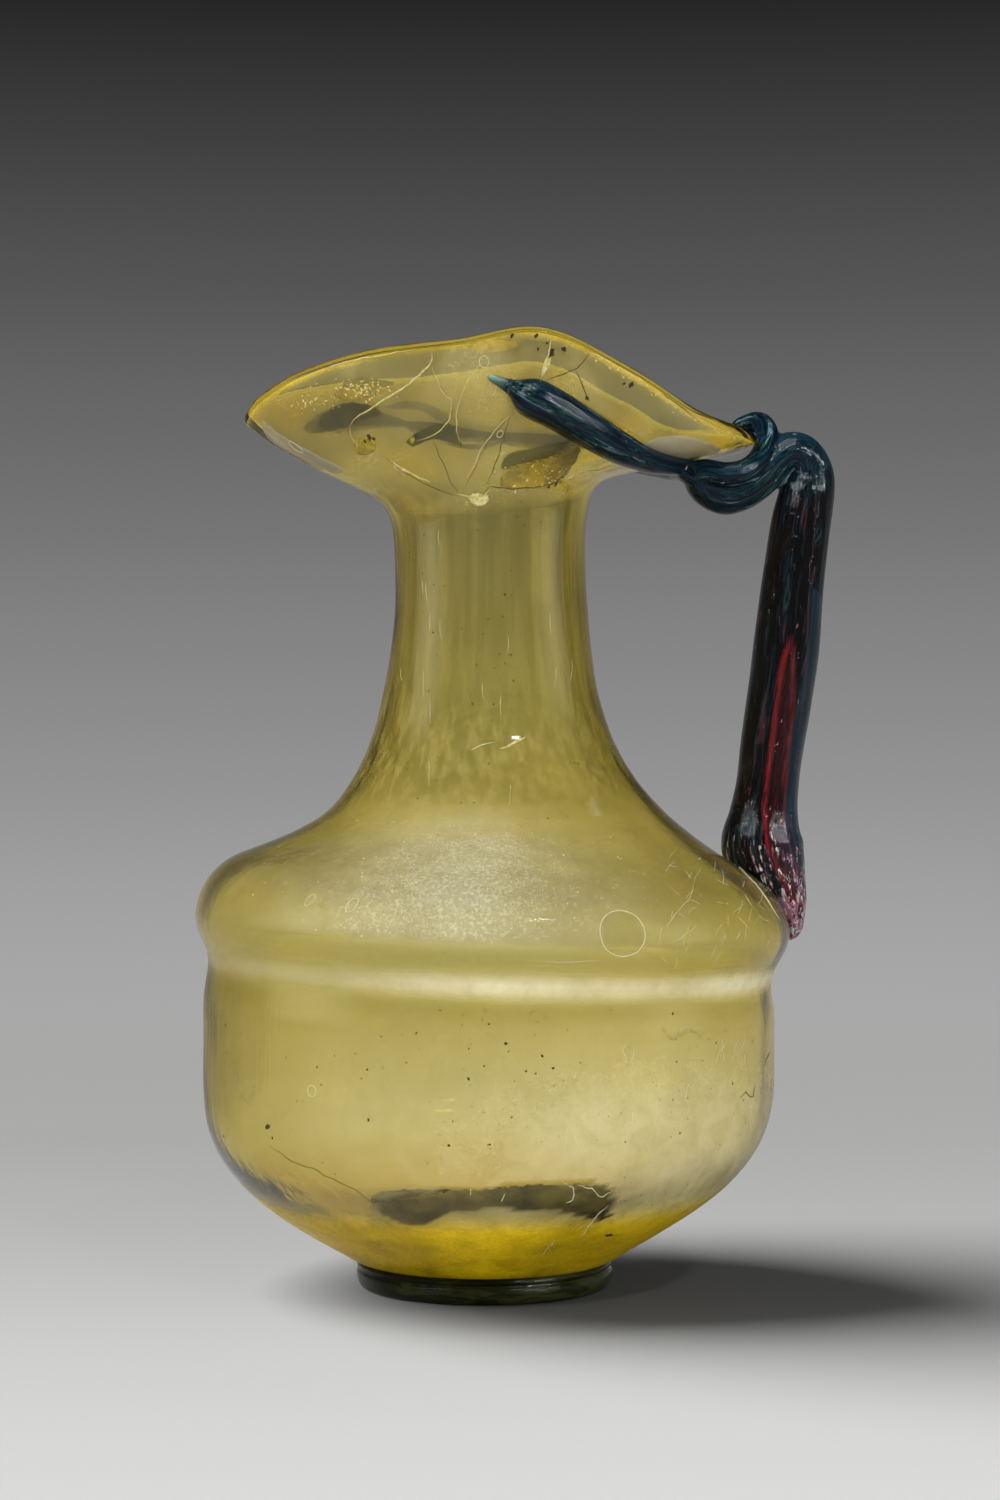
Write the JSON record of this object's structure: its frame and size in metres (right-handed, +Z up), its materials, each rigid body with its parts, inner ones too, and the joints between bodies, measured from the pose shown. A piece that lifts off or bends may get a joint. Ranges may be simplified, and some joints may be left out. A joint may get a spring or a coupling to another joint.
{
  "type": "glass oinochoe",
  "caption": "Blown glass jug with a folded trefoil mouth, an applied handle that knots over the rim and trails along the lip, and a coil foot.",
  "frame": {"origin": "middle of the bounding box on the surface the foot coil stands on; the jug's own axis is about 5 mm toward -X of it, because the handle stands out on +X", "axes": "+Z up, +X toward the handle, -X toward the spout, -Y toward the side on which the knot's loop stands"},
  "size_m": [0.1176, 0.1092, 0.1736],
  "materials": {
    "yellow_glass": "clear, slightly pitted and iridescent",
    "dark_handle_glass": "glossy, nearly opaque, streaked",
    "dark_olive_glass": "glossy, nearly opaque"
  },
  "bodies": {
    "root": {"vessel": "yellow_glass", "handle": "dark_handle_glass", "foot_ring": "dark_olive_glass"}
  },
  "joints": []
}
